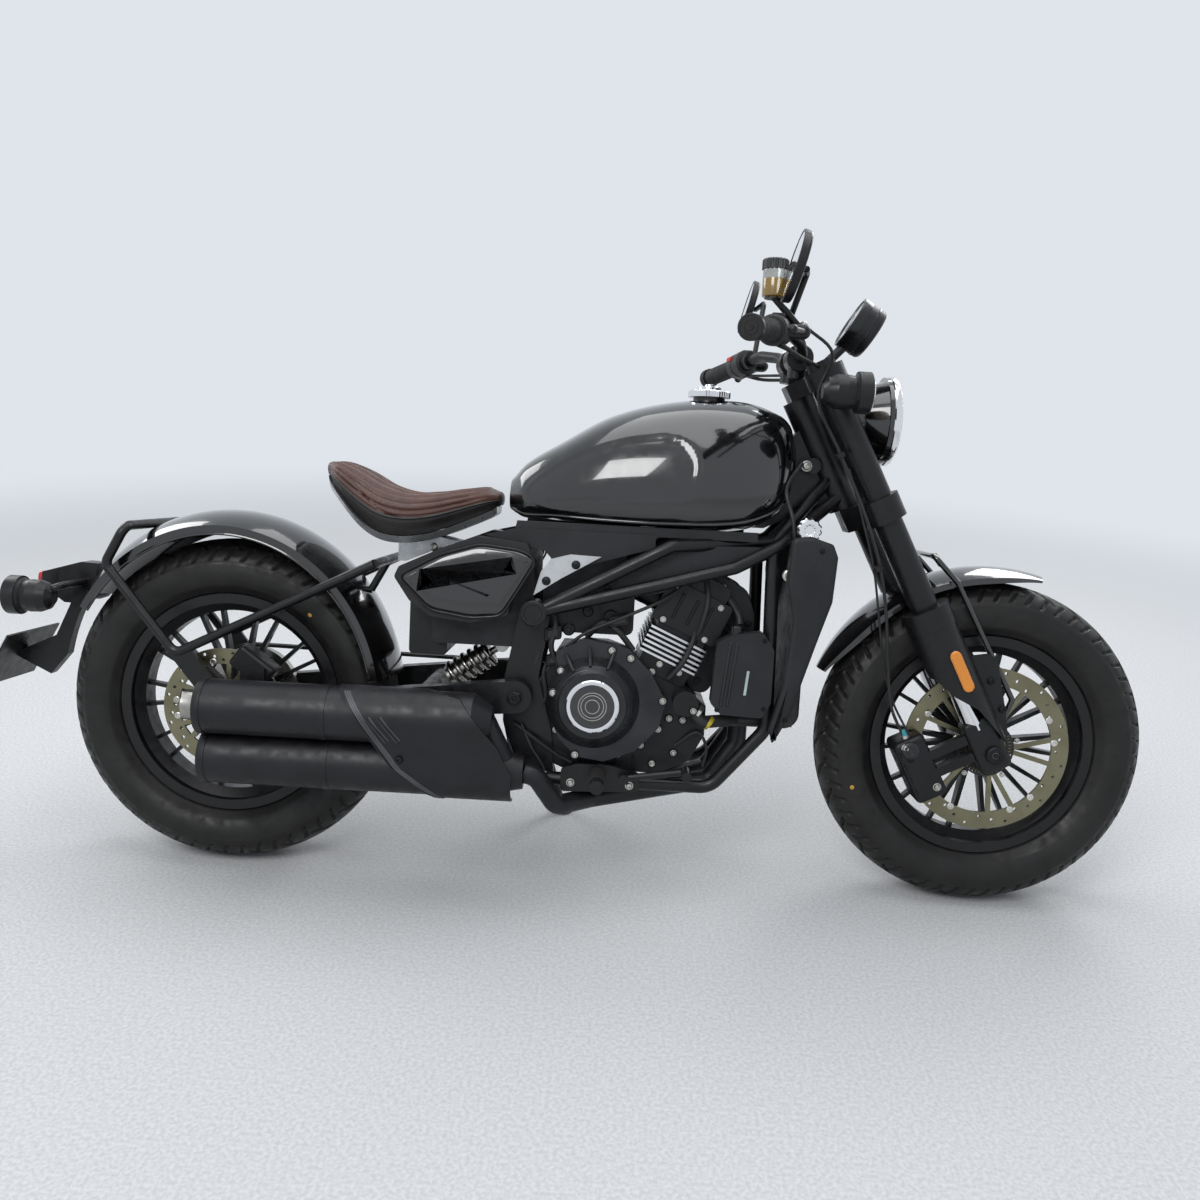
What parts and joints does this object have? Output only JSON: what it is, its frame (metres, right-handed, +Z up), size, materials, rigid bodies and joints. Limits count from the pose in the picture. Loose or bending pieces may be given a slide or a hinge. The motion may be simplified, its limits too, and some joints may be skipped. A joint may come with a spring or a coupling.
{
  "type": "cruiser motorcycle",
  "caption": "Low bobber-style cruiser motorcycle with an open parallel twin engine in a trellis frame, wheels that roll, steering and a side stand.",
  "frame": {"origin": "where the leaned rear tyre meets the floor", "axes": "+X forward, +Y to the rider's left, +Z up from the floor; the machine leans 10 degrees to +Y on its side stand"},
  "size_m": [2.2814, 0.8134, 1.2534],
  "materials": {
    "tyre_rubber": "matt, moulded tread",
    "black_wheel": "satin black powder coat",
    "disc_steel": "ground, drilled",
    "satin_black": "satin black powder coat",
    "gloss_black": "gloss black paint",
    "matt_grey": "matt grey paint",
    "black_cast": "black painted casting",
    "fin_metal": "black with machined fin edges",
    "bare_alloy": "machined, silver",
    "bright_steel": "bright steel",
    "chrome": "polished chrome",
    "black_exhaust": "matt black heat paint",
    "grey_exhaust": "dark grey heat paint",
    "header_steel": "dark heat-tinted steel",
    "belt_rubber": "matt reinforced rubber",
    "hose_rubber": "matt moulded hose",
    "grip_rubber": "soft matt rubber",
    "black_plastic": "matt black plastic",
    "seat_leather": "brown grained leather"
  },
  "bodies": {
    "chassis": {"steering_head": "satin_black", "trellis_right": "satin_black", "trellis_left": "satin_black", "cradle_right": "satin_black", "cradle_left": "satin_black", "crankcase": "black_cast", "cylinder_block": "fin_metal", "intake": "black_plastic", "coolant_hose": "hose_rubber", "clutch_cover": "black_cast", "radiator": "black_cast", "radiator_shroud": "black_plastic", "coolant_tank": "black_plastic", "fuel_tank": "gloss_black", "filler_cap": "chrome", "seat_pad": "seat_leather", "seat_pan": "bright_steel", "side_covers": "gloss_black", "side_panels": "matt_grey", "bracket_plates": "bare_alloy", "battery_box": "black_plastic", "rear_fender": "gloss_black", "fender_struts": "satin_black", "swingarm": "satin_black", "rear_shock": "black_cast", "rear_axle": "bright_steel", "rear_caliper": "black_cast", "drive_belt": "belt_rubber", "exhaust_pipes": "header_steel", "mufflers": "black_exhaust", "muffler_cover": "grey_exhaust", "tail_bracket": "black_plastic", "rear_lamps": "black_plastic", "foot_controls": "black_cast"},
    "steering": {"yokes": "black_cast", "fork_leg_right": "black_cast", "fork_leg_left": "black_cast", "handlebar": "satin_black", "grips": "grip_rubber", "hand_controls": "black_cast", "mirrors": "black_cast", "headlight": "gloss_black", "instrument": "black_plastic", "front_indicators": "black_plastic", "front_fender": "gloss_black", "front_caliper": "black_cast", "front_axle": "bright_steel"},
    "front_wheel": {"front_tyre": "tyre_rubber", "front_rim": "black_wheel", "front_disc": "disc_steel"},
    "rear_wheel": {"rear_tyre": "tyre_rubber", "rear_rim": "black_wheel", "rear_disc": "disc_steel", "rear_pulley": "bare_alloy"},
    "side_stand": {"side_stand": "satin_black"}
  },
  "joints": [
    {"name": "steering_turn", "type": "hinge", "parent": "chassis", "child": "steering", "pos_m": [1.13785, 0.13612, 0.85998], "axis": [-0.4617, 0.154, 0.8735], "range_deg": [-38, 38]},
    {"name": "front_wheel_spin", "type": "hinge", "parent": "steering", "child": "front_wheel", "pos_m": [1.485, 0.04025, 0.31628], "axis": [0, 0.9848, -0.1736], "continuous": true},
    {"name": "rear_wheel_spin", "type": "hinge", "parent": "chassis", "child": "rear_wheel", "pos_m": [0, 0.04081, 0.31943], "axis": [0, 0.9848, -0.1736], "continuous": true},
    {"name": "side_stand_swing", "type": "hinge", "parent": "chassis", "child": "side_stand", "pos_m": [0.61, 0.17273, 0.20377], "axis": [0, 0.9397, 0.342], "range_deg": [0, 102]}
  ]
}
